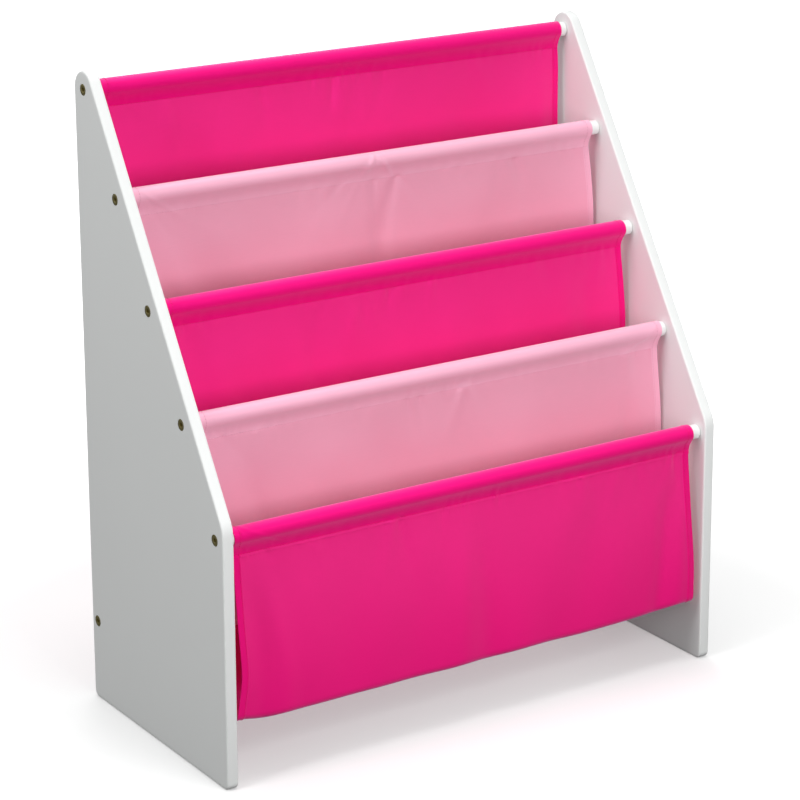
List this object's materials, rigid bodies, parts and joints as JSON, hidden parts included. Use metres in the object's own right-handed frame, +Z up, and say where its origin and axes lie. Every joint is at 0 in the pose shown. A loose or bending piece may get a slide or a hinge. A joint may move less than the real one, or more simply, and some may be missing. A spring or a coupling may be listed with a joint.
{
  "type": "sling bookshelf",
  "caption": "Child's sling bookshelf: painted side panels with a sloping front, joined by dowels that carry stepped cloth pockets for books.",
  "frame": {"origin": "on the floor, at the middle of the rack's width and depth", "axes": "+X along the dowels to the right-hand panel, +Y to the tall back edge, so the low front faces -Y, +Z up"},
  "size_m": [0.6112, 0.2856, 0.6832],
  "materials": {
    "white_paint_board": "painted board, satin white",
    "white_paint_wood": "painted wood dowel, satin white",
    "hot_pink_cloth": "plain-woven polyester, matt",
    "light_pink_cloth": "plain-woven polyester, matt",
    "aged_brass": "antique brass plate, dull",
    "bright_brass": "plain turned brass"
  },
  "bodies": {
    "root": {"side_panel_left": "white_paint_board", "side_panel_right": "white_paint_board", "dowel_1": "white_paint_wood", "dowel_2": "white_paint_wood", "dowel_3": "white_paint_wood", "dowel_4": "white_paint_wood", "dowel_5": "white_paint_wood", "dowel_rear_low": "white_paint_wood", "bolt_left_1": "aged_brass", "threaded_insert_left_1": "bright_brass", "bolt_left_2": "aged_brass", "threaded_insert_left_2": "bright_brass", "bolt_left_3": "aged_brass", "threaded_insert_left_3": "bright_brass", "bolt_left_4": "aged_brass", "threaded_insert_left_4": "bright_brass", "bolt_left_5": "aged_brass", "threaded_insert_left_5": "bright_brass", "bolt_left_rear_low": "aged_brass", "threaded_insert_left_rear_low": "bright_brass", "bolt_right_1": "aged_brass", "threaded_insert_right_1": "bright_brass", "bolt_right_2": "aged_brass", "threaded_insert_right_2": "bright_brass", "bolt_right_3": "aged_brass", "threaded_insert_right_3": "bright_brass", "bolt_right_4": "aged_brass", "threaded_insert_right_4": "bright_brass", "bolt_right_5": "aged_brass", "threaded_insert_right_5": "bright_brass", "bolt_right_rear_low": "aged_brass", "threaded_insert_right_rear_low": "bright_brass", "sling_1_hot_pink": "hot_pink_cloth", "sling_2_light_pink": "light_pink_cloth", "sling_3_hot_pink": "hot_pink_cloth", "sling_4_light_pink": "light_pink_cloth", "sling_5_hot_pink": "hot_pink_cloth"}
  },
  "joints": []
}
